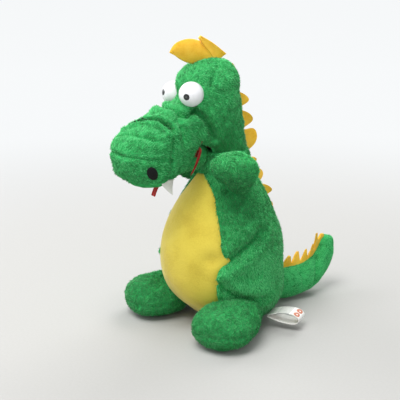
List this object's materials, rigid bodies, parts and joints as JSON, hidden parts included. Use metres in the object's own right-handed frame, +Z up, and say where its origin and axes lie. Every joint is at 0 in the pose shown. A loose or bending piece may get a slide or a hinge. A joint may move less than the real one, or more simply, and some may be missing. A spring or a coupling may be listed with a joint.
{
  "type": "stuffed dinosaur",
  "caption": "Sitting plush dinosaur with a nodding head, opening jaw, swinging arms, tipping feet, wagging tail and felt spikes, for display and soft play.",
  "frame": {"origin": "on the floor, at the middle of the flat seat under the body", "axes": "+Z up, -Y the way the body faces, +X the toy's left side"},
  "size_m": [0.1073, 0.1699, 0.1805],
  "materials": {
    "green_pile": "short-pile plush",
    "yellow_velour": "velour",
    "orange_felt": "felt",
    "red_felt": "felt",
    "white_felt": "felt",
    "white_plastic": "moulded, glossy",
    "black_plastic": "moulded, glossy",
    "black_thread": "embroidered",
    "clear_plastic": "moulded",
    "satin": "satin ribbon",
    "fibre": "loose polyester fibre",
    "pouch_cloth": "woven bag of pellets"
  },
  "bodies": {
    "torso": {"side_panel_left": "green_pile", "side_panel_right": "green_pile", "seat_panel": "green_pile", "belly_panel": "yellow_velour", "torso_filling": "fibre", "pellet_pouch": "pouch_cloth", "back_crest": "orange_felt"},
    "label": {"care_label": "satin"},
    "neck": {"neck_filling": "fibre"},
    "head": {"head_panel_left": "green_pile", "head_panel_right": "green_pile", "snout_bridge_panel": "green_pile", "nose_top_panel": "green_pile", "nose_bottom_panel": "green_pile", "head_filling": "fibre", "snout_filling": "fibre", "eye_left": "white_plastic", "eye_right": "white_plastic", "pupil_left": "black_plastic", "pupil_right": "black_plastic", "eye_washer_left": "clear_plastic", "eye_washer_right": "clear_plastic", "nostril_left": "black_thread", "nostril_right": "black_thread", "fang_left": "white_felt", "fang_right": "white_felt", "mouth_lining_upper": "red_felt", "head_crest": "orange_felt"},
    "jaw": {"jaw_skin": "green_pile", "jaw_lining": "red_felt", "tongue": "red_felt", "jaw_filling": "fibre"},
    "arm_left": {"arm_upper_panel_left": "green_pile", "arm_lower_panel_left": "green_pile", "arm_filling_left": "fibre"},
    "arm_right": {"arm_upper_panel_right": "green_pile", "arm_lower_panel_right": "green_pile", "arm_filling_right": "fibre"},
    "foot_left": {"foot_upper_left": "green_pile", "foot_sole_left": "green_pile", "foot_filling_left": "fibre"},
    "foot_right": {"foot_upper_right": "green_pile", "foot_sole_right": "green_pile", "foot_filling_right": "fibre"},
    "tail": {"tail_panel_left": "green_pile", "tail_panel_right": "green_pile", "tail_filling": "fibre", "tail_crest": "orange_felt"}
  },
  "joints": [
    {"name": "neck_turn", "type": "hinge", "parent": "torso", "child": "neck", "pos_m": [0, -0.002, 0.106], "axis": [0, 0, 1], "range_deg": [-4, 15], "stiffness_Nm_per_rad": 0.12},
    {"name": "neck_nod", "type": "hinge", "parent": "neck", "child": "head", "pos_m": [0, -0.002, 0.106], "axis": [0.9848, -0.1736, 0], "range_deg": [-12, 11], "stiffness_Nm_per_rad": 0.2, "springref_deg": -3.44},
    {"name": "jaw_open", "type": "hinge", "parent": "head", "child": "jaw", "pos_m": [-0.00373, -0.02317, 0.1105], "axis": [0.9848, -0.1736, 0], "range_deg": [0, 15], "stiffness_Nm_per_rad": 0.01},
    {"name": "arm_left_swing", "type": "hinge", "parent": "torso", "child": "arm_left", "pos_m": [0.0225, -0.007, 0.0945], "axis": [-0.7433, -0.669, 0], "range_deg": [-28, 20], "stiffness_Nm_per_rad": 0.02},
    {"name": "arm_right_swing", "type": "hinge", "parent": "torso", "child": "arm_right", "pos_m": [-0.0225, -0.007, 0.0945], "axis": [-0.7433, 0.669, 0], "range_deg": [-28, 20], "stiffness_Nm_per_rad": 0.02},
    {"name": "foot_left_tip", "type": "hinge", "parent": "torso", "child": "foot_left", "pos_m": [0.0335, -0.011, 0.0125], "axis": [-0.9816, -0.1908, 0], "range_deg": [-8, 10], "stiffness_Nm_per_rad": 0.1},
    {"name": "foot_right_tip", "type": "hinge", "parent": "torso", "child": "foot_right", "pos_m": [-0.0265, -0.012, 0.0125], "axis": [-0.9877, 0.1564, 0], "range_deg": [-8, 10], "stiffness_Nm_per_rad": 0.1},
    {"name": "tail_wag", "type": "hinge", "parent": "torso", "child": "tail", "pos_m": [0.003, 0.0355, 0.0122], "axis": [0, 0, 1], "range_deg": [-7, 15], "stiffness_Nm_per_rad": 0.04},
    {"name": "label_flap", "type": "hinge", "parent": "torso", "child": "label", "pos_m": [0.0322, 0.011, 0.0075], "axis": [0.454, -0.891, 0], "range_deg": [-5, 15], "stiffness_Nm_per_rad": 0.0005}
  ]
}
